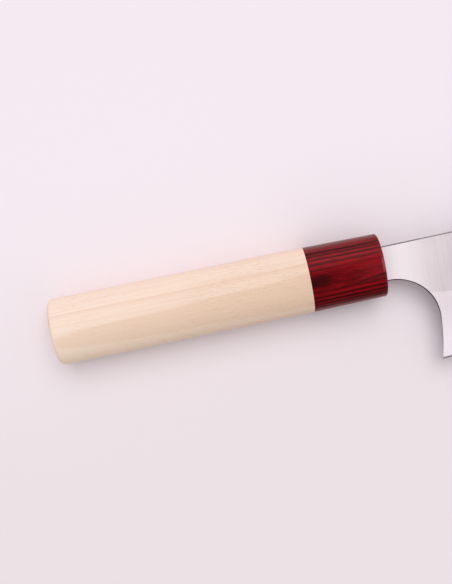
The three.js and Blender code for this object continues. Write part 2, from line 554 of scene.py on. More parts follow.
@dataclass(frozen=True)
class RedVeneers(Finish):
    """Dyed red and black veneers, pressed with resin and polished."""

    name: str = "red_veneers_polished"
    bright_red: Colour = srgb(152, 12, 24)
    red: Colour = srgb(124, 6, 14)
    deep_red: Colour = srgb(101, 4, 10)
    brown: Colour = srgb(76, 4, 7)
    black: Colour = srgb(38, 4, 6)
    # Painted sheen: a pale pink that is mixed into the colour where the ferrule should shine.
    painted_sheen_tone: Colour = srgb(176, 122, 126)
    joint_x: float = field(default_factory=lambda: rear_x("ferrule") / MM)
    mouth_x: float = field(default_factory=lambda: front_x("ferrule") / MM)
    top: float = 9.93
    repeat: float = 5.3
    taper: float = 0.00107
    tilt: float = 0.028
    offset: float = 0.178
    offset_from: float = 3.0
    wander: Grain = Grain(0.09, 0.5, 0.5)
    wander_by: float = 0.10
    jag: Grain = Grain(0.16, 1.6, 1.6, detail=4, roughness=0.65)
    jag_by: float = 0.13
    dip: float = 0.5
    dip_line: float = -1.6
    dip_reach: Fade = Fade(0.0, 2.8)
    dip_from: float = 0.55
    lines: Figure = Figure(
        Grain(0.012, 4.2, 0.04, detail=3, roughness=0.65), Fade(0.53, 0.61, 0.30), Fade(0.38, 0.46, 0.22))
    fibre: Figure = Figure(
        Grain(0.08, 1.5, 1.5, detail=5, roughness=0.7), Fade(0.50, 0.64, 0.30), Fade(0.36, 0.48, 0.28))
    tone: Figure = Figure(
        Grain(0.20, 0.9, 0.9, detail=3, roughness=0.6), Fade(0.52, 0.66, 0.25), Fade(0.34, 0.46, 0.25))
    flame: Figure = Figure(
        Grain(0.30, 2.3, 0.6, detail=3, roughness=0.65), Fade(0.50, 0.60, 0.60), Fade(0.38, 0.48, 0.48))
    streak: Grain = Grain(0.13, 2.6, 2.6, detail=4, roughness=0.7)
    dark_streak: Fade = Fade(0.50, 0.62, 0.34)
    upper_side: Fade = Fade(4.5, 6.5)
    crest: Fade = Fade(3.0, 5.0)
    heart_line: float = 0.2
    heart_width: Fade = Fade(1.1, 2.8)
    heart_length: Fade = Fade(0.15, 0.34, 0.80)
    heart_end_fibre: float = 0.6
    heart_end_streak: float = 0.3
    heart_side_tone: float = 3.2
    heart_side_streak: float = 2.6
    # Painted shade along the lower side of the ferrule's top.
    painted_shade_below: Fade = Fade(6.3, 7.6, 0.42)
    painted_shade_below_end: Fade = Fade(9.2, 10.0)
    # Painted sheen: a lighter, pinker patch on the crest towards the mouth.
    near_mouth: Patch = Patch(Fade(0.45, 0.85), 0.0, Fade(2.5, 5.0))
    near_mouth_red: float = 0.2
    near_mouth_painted_sheen: float = 0.025
    shoulder: Patch = Patch(Fade(0.22, 0.50), 3.3, Fade(0.8, 2.2))
    shoulder_red: float = 0.3
    curl_start: Fade = Fade(0.49, 0.67, 0.75)
    curl_line: tuple[float, float] = (-3.7, -1.8)
    curl_width: Fade = Fade(0.10, 0.60)
    curl_jag: float = 1.2
    # Painted sheen along the spine side, fading out before the top rim.
    painted_sheen: Fade = Fade(2.8, 7.4, 0.07)
    painted_sheen_end: Fade = Fade(9.0, 11.2, 0.7)
    # Painted highlight on the rounded rim of the mouth.
    rim: Patch = Patch(Fade(0.945, 0.985, 0.34), 1.5, Fade(1.0, 4.0))
    refraction: float = 1.13
    coat_roughness: float = 0.22
    coat: float = 0.32
    coat_sides: Fade = Fade(9.6, 11.4)
    coat_mouth: Fade = Fade(0.955, 0.985)
    coat_spine_side: Fade = Fade(11.2, 12.2, 0.42)
    roughness: float = 0.30
    roughness_spread: float = 0.12
    relief: float = 0.02
    relief_strength: float = 0.3

    def constants(self) -> Sockets:
        """The polish is thin and clear, so that only its rims shine."""
        return {"IOR": self.refraction, "Coat Roughness": self.coat_roughness}

    def stack(self) -> Stops:
        """The veneers from the top of the ferrule down, by height.

        Returns:
            Places from 0 at the top to 1 a repeat lower, each with its colour.
        """
        heights = [
            (9.93, self.deep_red), (9.70, self.deep_red), (9.60, self.red), (9.48, self.red),
            (9.38, self.brown), (9.28, self.brown), (9.16, self.red), (8.98, self.bright_red),
            (8.86, self.red), (8.70, self.brown), (8.58, self.black), (8.48, self.brown),
            (8.36, self.red), (8.18, self.bright_red), (8.00, self.bright_red), (7.84, self.brown),
            (7.68, self.black), (7.54, self.brown), (7.40, self.red), (7.25, self.bright_red),
            (7.06, self.red), (6.86, self.brown), (6.70, self.black), (6.56, self.brown),
            (6.42, self.red), (6.26, self.red), (6.08, self.brown), (5.92, self.black),
            (5.46, self.black), (5.24, self.brown), (5.02, self.red), (4.82, self.bright_red)]
        return [((self.top - height) / self.repeat, colour) for height, colour in heights]

    def paint(self, graph: Graph) -> Sockets:
        """Veneers across the handle's thickness, their fibres, a dark heart at the joint, painted shade on
        the lower side, painted sheen on the spine side and at the mouth, and a polish.

        Args:
            graph: the material's node tree.

        Returns:
            What feeds the shader's inputs, by their names.
        """
        spot = self._spot(graph)
        x, y, z, along, upper = spot.x, spot.y, spot.z, spot.along, spot.upper
        level = self._level(graph, spot)
        lines = self.lines.grain.at(x, level, y)
        fibre = self.fibre.grain.at(x, y, z)
        tone = self.tone.grain.at(x, y, z)
        flame = self.flame.grain.at(x, y, z)
        streak = self.streak.at(x, y, z)
        wood = graph.ramp(graph.math("FRACT", (self.top - level) / self.repeat), self.stack())
        wood = self._figured(graph, wood, self.lines, lines)
        wood = self._figured(graph, wood, self.fibre, fibre)
        wood = self._figured(graph, wood, self.tone, tone)
        wood = self._figured(graph, wood, self.flame, flame, self.crest.fall(abs(y)) * upper)
        wood = graph.mix(self._heart(spot, fibre, tone, streak), wood, self.black)
        # Painted sheen near the mouth: a lighter red here, and some of the sheen's pink below.
        near_mouth = self.near_mouth.at(along, y) * upper
        shoulder = self.shoulder.at(along, y) * upper
        reddened = near_mouth * self.near_mouth_red + shoulder * self.shoulder_red
        wood = graph.mix(reddened, wood, self.bright_red)
        wood = graph.mix(self.dark_streak.rise(streak), wood, self.black)
        wood = graph.mix(self._curl(spot), wood, self.black)
        # Painted sheen: a pale pink band along the spine side, with more of it near the mouth.
        painted_sheen = self.painted_sheen.rise(y) * (1 - self.painted_sheen_end.rise(y))
        # Painted highlight: a pale pink strip along the mouth's rim.
        rim = self.rim.at(along, y) * upper
        wood = graph.mix(painted_sheen + near_mouth * self.near_mouth_painted_sheen + rim, wood, self.painted_sheen_tone)
        coat = graph.math("MAXIMUM", self.coat_sides.rise(abs(y)), self.coat_mouth.rise(along))
        return {
            "Base Color": wood,
            "Coat Weight": coat * self.coat + self.coat_spine_side.rise(y),
            "Roughness": self.roughness + streak * self.roughness_spread,
            "Normal": graph.bump(streak, self.relief, self.relief_strength)}

    def _spot(self, graph: Graph) -> FerruleSpot:
        """Where the shaded point lies on the ferrule.

        Args:
            graph: the material's node tree.

        Returns:
            The point.
        """
        x, y, z = graph.millimetres()
        along = (x - self.joint_x) / (self.mouth_x - self.joint_x)
        late = graph.math("MAXIMUM", along - self.dip_from, 0.0) / (1 - self.dip_from)
        return FerruleSpot(x, y, z, along, late, self.upper_side.rise(z), self.jag.swing(x, y, z))

    def _level(self, graph: Graph, spot: FerruleSpot) -> Value:
        """How high in the stack of veneers a point lies.

        Args:
            graph: the material's node tree.
            spot: the point.

        Returns:
            The height, with the veneers' tilt, dip and unevenness.
        """
        x, y, z = spot.x, spot.y, spot.z
        level = z / (1 - (x - self.joint_x) * self.taper) + y * self.tilt
        level = level - y / graph.math("MAXIMUM", z, self.offset_from) * self.offset
        dip = spot.late * self.dip_reach.fall(abs(y - self.dip_line)) * self.dip
        return level - dip + self.wander.swing(x, y, z) * self.wander_by + spot.jag * self.jag_by

    def _figured(self, graph: Graph, wood: Socket, figure: Figure, noise: Value,
                 where: Value | float = 1.0) -> Socket:
        """Darkens and brightens the wood along its figure.

        Args:
            graph: the material's node tree.
            wood: the socket of the colour so far.
            figure: the figure.
            noise: its grain at the shaded point.
            where: how strongly it shows there.

        Returns:
            The socket of the new colour.
        """
        wood = graph.mix(figure.dark.rise(noise) * where, wood, self.brown)
        return graph.mix(figure.bright.fall(noise) * where, wood, self.bright_red)

    def _heart(self, spot: FerruleSpot, fibre: Value, tone: Value, streak: Value) -> Value:
        """The dark heart at the joint, with a ragged outline, and painted shade along the lower side.

        Args:
            spot: the shaded point.
            fibre: the fibres there.
            tone: the tone there.
            streak: the streaks there.

        Returns:
            How dark the point is.
        """
        fibre, tone, streak = fibre - NOISE_MIDDLE, tone - NOISE_MIDDLE, streak - NOISE_MIDDLE
        end = spot.along + fibre * self.heart_end_fibre + streak * self.heart_end_streak
        side = spot.y - self.heart_line + tone * self.heart_side_tone + streak * self.heart_side_streak
        heart = self.heart_width.fall(abs(side)) * self.heart_length.fall(end)
        # Painted shade: the lower side is darkened towards black.
        below = self.painted_shade_below.rise(-spot.y) * self.painted_shade_below_end.fall(-spot.y)
        return (heart + below) * spot.upper

    def _curl(self, spot: FerruleSpot) -> Value:
        """The dark line that curls up over the crest towards the mouth.

        Args:
            spot: the shaded point.

        Returns:
            How dark the point is.
        """
        line = lerp(*self.curl_line, spot.late)
        width = self.curl_width.fall(abs(spot.y - line + spot.jag * self.curl_jag))
        return width * self.curl_start.rise(spot.along) * spot.upper


class SteelFace(Enum):
    """Faces of the blade that get steel tones of their own; the choil's near-black is painted shade."""

    FLAT = 0
    GROUND = 1
    SPINE = 2
    CHOIL = 3
    HONED = 4


@dataclass(frozen=True)
class Steel(Finish):
    """Bright steel with fine grinding lines."""

    name: str = "steel_satin"
    bright: Colour = srgb(228, 225, 226)
    dull: Colour = srgb(216, 213, 214)
    # Painted reflection: the tone that stands in for the reflection at the neck and towards the edge.
    painted_reflection_tone: Colour = srgb(249, 248, 249)
    roughness: float = 0.24
    roughness_spread: float = 0.05
    lines: Grain = Grain(1.3, 0.03, 0.4, detail=4, roughness=0.7)
    cloud: Grain = Grain(0.07, 0.05, 0.05, detail=3)
    cloudiness: float = 0.58
    shade: Fade = Fade(0.34, 0.66)
    neck_x: float = field(default_factory=lambda: front_x("ferrule") / MM)
    neck_start: Fade = Fade(-1.0, 8.0)
    neck_end: Fade = Fade(9.0, 23.0)
    # Painted reflection near the neck and towards the edge.
    neck_painted_reflection: float = 0.8
    edge_painted_reflection: Fade = Fade(21.0, 35.0, 0.0)
    relief: float = 0.002
    relief_strength: float = 0.1

    def constants(self) -> Sockets:
        """Bare metal."""
        return {"Metallic": 1.0}

    def paint(self, graph: Graph) -> Sockets:
        """Grinding lines from the spine to the edge, faint clouds, and painted reflection at the neck and
        towards the edge.

        Args:
            graph: the material's node tree.

        Returns:
            What feeds the shader's inputs, by their names.
        """
        x, y, z = graph.millimetres()
        lines = self.lines.at(x, y, z)
        shade = self.shade.rise(lerp(lines, self.cloud.at(x, y, z), self.cloudiness))
        # Painted reflection: a changed tone at the neck, and towards the edge on the ground faces and the
        # choil.
        from_ferrule = x - self.neck_x
        neck = self.neck_start.rise(from_ferrule) * self.neck_end.fall(from_ferrule) * self.neck_painted_reflection
        painted_reflection = graph.math("MAXIMUM", neck, self.edge_painted_reflection.rise(-y))
        return {
            "Base Color": graph.mix(painted_reflection, graph.mix(shade, self.bright, self.dull), self.painted_reflection_tone),
            "Roughness": self.roughness + (lines - NOISE_MIDDLE) * self.roughness_spread,
            "Normal": graph.bump(lines, self.relief, self.relief_strength)}


@dataclass(frozen=True)
class Hardwood(Finish):
    """Turned hardwood, bare."""

    name: str = "hardwood_turned"
    pale: Colour = srgb(206, 170, 126)
    dark: Colour = srgb(168, 128, 88)
    fibre: Grain = Grain(0.08, 1.6, 1.6, detail=4, roughness=0.6)
    dark_fibre: Fade = Fade(0.35, 0.7)
    roughness: float = 0.65
    roughness_spread: float = 0.2
    relief: float = 0.08
    relief_strength: float = 0.5

    def paint(self, graph: Graph) -> Sockets:
        """Long fibres, some of them darker and rougher.

        Args:
            graph: the material's node tree.

        Returns:
            What feeds the shader's inputs, by their names.
        """
        fibre = self.fibre.at(*graph.millimetres())
        return {
            "Base Color": graph.mix(self.dark_fibre.rise(fibre), self.pale, self.dark),
            "Roughness": self.roughness + fibre * self.roughness_spread,
            "Normal": graph.bump(fibre, self.relief, self.relief_strength)}


@dataclass(frozen=True)
class CuredResin(Finish):
    """Amber adhesive, cured in place."""

    name: str = "resin_cured"
    amber: Colour = srgb(222, 202, 152)
    cloudy: Colour = srgb(236, 224, 190)
    air: Grain = Grain(0.5, 0.7, 0.7, detail=4)
    caught_air: Fade = Fade(0.45, 0.7)
    roughness: float = 0.25
    roughness_spread: float = 0.25

    def paint(self, graph: Graph) -> Sockets:
        """Cloudy where air is caught in it.

        Args:
            graph: the material's node tree.

        Returns:
            What feeds the shader's inputs, by their names.
        """
        air = self.air.at(*graph.millimetres())
        return {
            "Base Color": graph.mix(self.caught_air.rise(air), self.amber, self.cloudy),
            "Roughness": self.roughness + air * self.roughness_spread}


@dataclass(frozen=True)
class FloorPaint(Finish):
    """Plain pale floor."""

    name: str = "floor_pale"
    spine_side: Colour = srgb(246, 236, 243)
    edge_side: Colour = srgb(238, 227, 231)
    far: Colour = srgb(245, 234, 238)
    across: Fade = Fade(-70.0, 70.0)
    away: Fade = Fade(300.0, 900.0)
    roughness: float = 0.9
    shine: float = 0.1

    def constants(self) -> Sockets:
        """Matt."""
        return {"Roughness": self.roughness, "Specular IOR Level": self.shine}

    def paint(self, graph: Graph) -> Sockets:
        """A little paler on the side that the light comes from, and the backdrop's colour far off.

        Args:
            graph: the material's node tree.

        Returns:
            What feeds the shader's inputs, by their names.
        """
        x, y, _ = graph.millimetres()
        near = graph.mix(self.across.rise(y), self.edge_side, self.spine_side)
        return {"Base Color": graph.mix(self.away.rise(graph.diagonal(x, y)), near, self.far)}


# Mesh helpers

def new_object(name: str, mesh: bpy.types.Mesh) -> bpy.types.Object:
    """Puts a mesh into the scene.

    Args:
        name: the object's name.
        mesh: its mesh.

    Returns:
        The object, at the origin.
    """
    piece = bpy.data.objects.new(name, mesh)
    bpy.context.scene.collection.objects.link(piece)
    return piece


def mesh_from(name: str, make: Callable[[bmesh.types.BMesh], None]) -> bpy.types.Mesh:
    """Makes a closed mesh whose faces point out.

    Args:
        name: the mesh's name.
        make: fills an empty bmesh.

    Returns:
        The new mesh.
    """
    work = bmesh.new()
    make(work)
    bmesh.ops.recalc_face_normals(work, faces=work.faces)
    mesh = bpy.data.meshes.new(name)
    work.to_mesh(mesh)
    work.free()
    return mesh


def walls(work: bmesh.types.BMesh, rings: list[list[bmesh.types.BMVert]]) -> None:
    """Spans faces between rings that follow each other.

    Args:
        work: the bmesh that holds the rings.
        rings: closed rings of equally many vertices.
    """
    for ring, following in zip(rings, rings[1:]):
        for k in range(len(ring)):
            after = (k + 1) % len(ring)
            work.faces.new((ring[k], ring[after], following[after], following[k]))


def stacked(name: str, levels: list[tuple[float, list[Point2]]]) -> bpy.types.Object:
    """A solid through outlines that lie over each other.

    Args:
        name: the object's name.
        levels: heights along Z, from the lowest up, each with the (x, y) corners of its outline.

    Returns:
        The solid.
    """
    def make(work: bmesh.types.BMesh) -> None:
        """One ring at each level, with a lid at each end and walls between them.

        Args:
            work: the empty bmesh.
        """
        rings = [[work.verts.new((x, y, z)) for x, y in outline] for z, outline in levels]
        work.faces.new(rings[0])
        work.faces.new(rings[-1])
        walls(work, rings)

    return new_object(name, mesh_from(name, make))


class Action(Enum):
    """What a tool object does to a piece."""

    CUT = "DIFFERENCE"
    JOIN = "UNION"


def combine(piece: bpy.types.Object, tool: bpy.types.Object, action: Action) -> None:
    """Adds a boolean that cuts or joins a piece with a tool object.

    Args:
        piece: the object that changes.
        tool: the object that it is cut by or joined with.
        action: whether it is cut or joined.
    """
    step = piece.modifiers.new(tool.name, "BOOLEAN")
    step.object = tool
    step.operation = action.value
    step.solver = "EXACT"


def settle(piece: bpy.types.Object, tools: Iterable[bpy.types.Object] = ()) -> None:
    """Turns a piece with its modifiers into a plain mesh.

    Args:
        piece: the object to settle.
        tools: objects that its modifiers used, which are removed.
    """
    evaluated = piece.evaluated_get(bpy.context.evaluated_depsgraph_get())
    mesh = bpy.data.meshes.new_from_object(evaluated)
    piece.modifiers.clear()
    piece.data = mesh
    mesh.name = piece.name
    for tool in tools:
        bpy.data.objects.remove(tool)


def hand_over(piece: bpy.types.Object, node: str) -> None:
    """Lets a finished piece stand for its CAD node and reports it.

    Args:
        piece: the finished piece.
        node: the CAD node that it replaces.
    """
    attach(piece, BODY)
    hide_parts(node)
    LOG.info("%s: %d faces", piece.name, len(piece.data.polygons))


# Handle

class OvalTurning:
    """Geometry Nodes tree for a bored and slotted oval bar along X, with rounded rims."""

    SIZES: tuple[str, ...] = (
        "From X", "Length", "Rear Height", "Front Height", "Oval Ratio", "Rear Round", "Front Round",
        "Bore Radius", "Bore From X", "Bore To X",
        "Slot Height", "Slot Thickness", "Slot From X", "Slot To X")
    COUNTS: tuple[str, ...] = ("Rings", "Sides", "Bore Sides")
    SQUARE_TO_X: float = 0.9999
    SHARP_ANGLE: float = math.radians(40)

    def __init__(self) -> None:
        """Builds the tree."""
        self.tree = bpy.data.node_groups.new("oval_turning", "GeometryNodeTree")
        self.inputs: dict[str, str] = {}
        for name in self.SIZES:
            self._add_input(name, "NodeSocketFloat")
        for name in self.COUNTS:
            self._add_input(name, "NodeSocketInt")
        self._add_input("Finish", "NodeSocketMaterial")
        self.tree.interface.new_socket(name="Bar", in_out="OUTPUT", socket_type="NodeSocketGeometry")
        self.graph = Graph(self.tree)
        self.group = self.graph.node("NodeGroupInput")
        self._build()

    def turn(self, name: str, sizes: dict[str, object]) -> bpy.types.Object:
        """Turns one bar.

        Args:
            name: the new object's name.
            sizes: a value for each named input of the tree.

        Returns:
            The bar, as a plain mesh at its place.
        """
        piece = new_object(name, bpy.data.meshes.new(name))
        step = piece.modifiers.new("turning", "NODES")
        step.node_group = self.tree
        for label, size in sizes.items():
            step[self.inputs[label]] = size
        settle(piece)
        for face in piece.data.polygons:
            face.use_smooth = abs(face.normal.x) < self.SQUARE_TO_X
        piece.data.set_sharp_from_angle(angle=self.SHARP_ANGLE)
        return piece

    def _add_input(self, name: str, kind: str) -> None:
        """Adds a named input and keeps its identifier."""
        socket = self.tree.interface.new_socket(name=name, in_out="INPUT", socket_type=kind)
        self.inputs[name] = socket.identifier

    def _size(self, name: str) -> Value:
        """An input of the tree, as a value."""
        return self.graph.output(self.group, name)

    def _build(self) -> None:
        """Sweeps a circle along the bar, squeezes it to the oval and cuts the bore and the slot."""
        graph = self.graph
        place = graph.node("GeometryNodeInputPosition").outputs[0]
        circle = graph.node("GeometryNodeCurvePrimitiveCircle", {"mode": "RADIUS"}, {
            "Resolution": self._size("Sides"), "Radius": 1.0})
        swept = graph.node("GeometryNodeCurveToMesh", sockets={
            "Curve": self._path(), "Profile Curve": circle.outputs[0],
            "Scale": self._radius(place), "Fill Caps": True})
        squeeze = graph.node("ShaderNodeVectorMath", {"operation": "MULTIPLY"}, {
            0: place, 1: graph.vector(1.0, 1.0, self._size("Oval Ratio"))})
        oval = graph.node("GeometryNodeSetPosition", sockets={
            "Geometry": swept.outputs[0], "Position": squeeze.outputs[0]})
        cut = graph.node("GeometryNodeMeshBoolean", {"operation": "DIFFERENCE", "solver": "EXACT"}, {
            "Mesh 1": oval.outputs[0], "Mesh 2": self._bore()})
        graph.feed(cut, {"Mesh 2": self._slot()})
        whole = graph.node("GeometryNodeRealizeInstances", sockets={"Geometry": cut.outputs[0]})
        finished = graph.node("GeometryNodeSetMaterial", sockets={
            "Geometry": whole.outputs[0], "Material": self.group.outputs["Finish"]})
        graph.node("NodeGroupOutput", sockets={0: finished.outputs[0]})

    def _path(self) -> Socket:
        """The line that the circle is swept along, with points that crowd towards both ends.

        Returns:
            The socket of the line.
        """
        graph = self.graph
        line = graph.node("GeometryNodeCurvePrimitiveLine", {"mode": "POINTS"}, {"End": (1.0, 0.0, 0.0)})
        points = graph.node("GeometryNodeResampleCurve", {"mode": "COUNT"}, {
            "Curve": line.outputs[0], "Count": self._size("Rings")})
        share = graph.output(graph.node("GeometryNodeSplineParameter"), "Factor")
        eased = (1 - graph.math("COSINE", share * math.pi)) / 2
        x = self._size("From X") + eased * self._size("Length")
        path = graph.node("GeometryNodeSetPosition", sockets={
            "Geometry": points.outputs[0], "Position": graph.vector(x, 0.0, 0.0)})
        return path.outputs[0]

    def _radius(self, place: Socket) -> Value:
        """Half the bar's height, with its taper and its rounded rims.

        Args:
            place: the socket of the place.

        Returns:
            The half height there.
        """
        length = self._size("Length")
        along = self.graph.split(place)[0] - self._size("From X")
        taper = (self._size("Front Height") - self._size("Rear Height")) * along / length
        half = (self._size("Rear Height") + taper) / 2
        half = half - self._inset(along, self._size("Rear Round"))
        return half - self._inset(length - along, self._size("Front Round"))

    def _inset(self, from_end: Value, round_size: Value) -> Value:
        """How far a quarter round draws the rim in.

        Args:
            from_end: the distance from the end of the bar.
            round_size: the radius of the round.

        Returns:
            The distance that the rim is drawn in.
        """
        graph = self.graph
        short = 1 - graph.math("MINIMUM", from_end / round_size, 1.0)
        return round_size * (1 - graph.math("SQRT", 1 - short * short))

    def _bore(self) -> Socket:
        """The round hole for the dowel.

        Returns:
            The socket of the tool that cuts it.
        """
        reach = self._size("Bore To X") - self._size("Bore From X")
        tool = self.graph.node("GeometryNodeMeshCylinder", {"fill_type": "NGON"}, {
            "Vertices": self._size("Bore Sides"), "Radius": self._size("Bore Radius"), "Depth": reach})
        return self._centred(tool.outputs[0], "Bore", (0.0, math.pi / 2, 0.0))

    def _slot(self) -> Socket:
        """The flat hole for the tang.

        Returns:
            The socket of the tool that cuts it.
        """
        reach = self._size("Slot To X") - self._size("Slot From X")
        size = self.graph.vector(reach, self._size("Slot Height"), self._size("Slot Thickness"))
        tool = self.graph.node("GeometryNodeMeshCube", sockets={"Size": size})
        return self._centred(tool.outputs[0], "Slot", (0.0, 0.0, 0.0))

    def _centred(self, tool: Socket, name: str, turn: Point3) -> Socket:
        """Moves a cutting tool to the middle of the stretch along X that it cuts.

        Args:
            tool: the socket of the tool.
            name: the hole's name in the tree's inputs.
            turn: how the tool is turned about X, Y and Z.

        Returns:
            The socket of the tool at its place.
        """
        middle = (self._size(f"{name} From X") + self._size(f"{name} To X")) / 2
        return self.graph.node("GeometryNodeTransform", sockets={
            "Geometry": tool, "Translation": self.graph.vector(middle, 0.0, 0.0),
            "Rotation": turn}).outputs[0]


@dataclass
class Handle:
    """The oval grip and its ferrule, with the dowel and the resin inside them."""

    butt_round: float = 1.8 * MM
    mouth_round: float = 0.7 * MM
    seam_round: float = 0.12 * MM
    joint_height: float = 25.7 * MM
    mouth_height: float = 24.9 * MM
    bore_radius: float = 6.35 * MM
    grip_bore_depth: float = 24.0 * MM
    ferrule_front_wall: float = 10.0 * MM
    slot_height: float = 9.5 * MM
    slot_thickness: float = 2.8 * MM
    tang_length: float = TANG_LENGTH
    resin_wall: float = 0.5 * MM
    cut_past: float = 1.0 * MM
    grip_rings: int = 150
    ferrule_rings: int = 80
    sides: int = 192
    bore_sides: int = 64
    turning: OvalTurning = field(default_factory=OvalTurning)

    def __post_init__(self) -> None:
        """Takes the handle's place and its outer sizes from the frame."""
        grip_low, grip_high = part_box("grip")
        self.joint_x = grip_high.x
        self.mouth_x = front_x("ferrule")
        self.butt_height = grip_high.y - grip_low.y
        self.oval_ratio = (grip_high.z - grip_low.z) / self.butt_height

    def build(self) -> None:
        """Turns the grip and the ferrule, and dresses what they hide."""
        grip = self.turning.turn("sanded_grip", self._shared_sizes() | {
            "From X": 0.0, "Length": self.joint_x, "Rings": self.grip_rings,
            "Rear Height": self.butt_height, "Front Height": self.joint_height,
            "Rear Round": self.butt_round, "Front Round": self.seam_round,
            "Bore From X": self.joint_x - self.grip_bore_depth,
            "Bore To X": self.joint_x + self.cut_past,
            "Slot From X": self.mouth_x - self.tang_length - self.resin_wall,
            "Slot To X": self.joint_x + self.cut_past,
            "Finish": Magnolia().material()})
        hand_over(grip, "grip")
        ferrule = self.turning.turn("polished_ferrule", self._shared_sizes() | {
            "From X": self.joint_x, "Length": self.mouth_x - self.joint_x, "Rings": self.ferrule_rings,
            "Rear Height": self.joint_height, "Front Height": self.mouth_height,
            "Rear Round": self.seam_round, "Front Round": self.mouth_round,
            "Bore From X": self.joint_x - self.cut_past,
            "Bore To X": self.mouth_x - self.ferrule_front_wall,
            "Slot From X": self.joint_x - self.cut_past,
            "Slot To X": self.mouth_x + self.cut_past,
            "Finish": RedVeneers().material()})
        hand_over(ferrule, "ferrule")
        self._dress("dowel", Hardwood())
        self._dress("tang_resin", CuredResin())

    def _shared_sizes(self) -> dict[str, object]:
        """Sizes that the grip and the ferrule have in common.

        Returns:
            Values of the turning's inputs, by their names.
        """
        return {
            "Oval Ratio": self.oval_ratio, "Sides": self.sides,
            "Bore Radius": self.bore_radius, "Bore Sides": self.bore_sides,
            "Slot Height": self.slot_height, "Slot Thickness": self.slot_thickness}

    @staticmethod
    def _dress(node: str, finish: Finish) -> None:
        """Gives a CAD node that stays its finish."""
        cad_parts[node].material_slots[0].material = finish.material()
        LOG.info("%s: stays as it is, in %s", node, finish.name)


# Blade

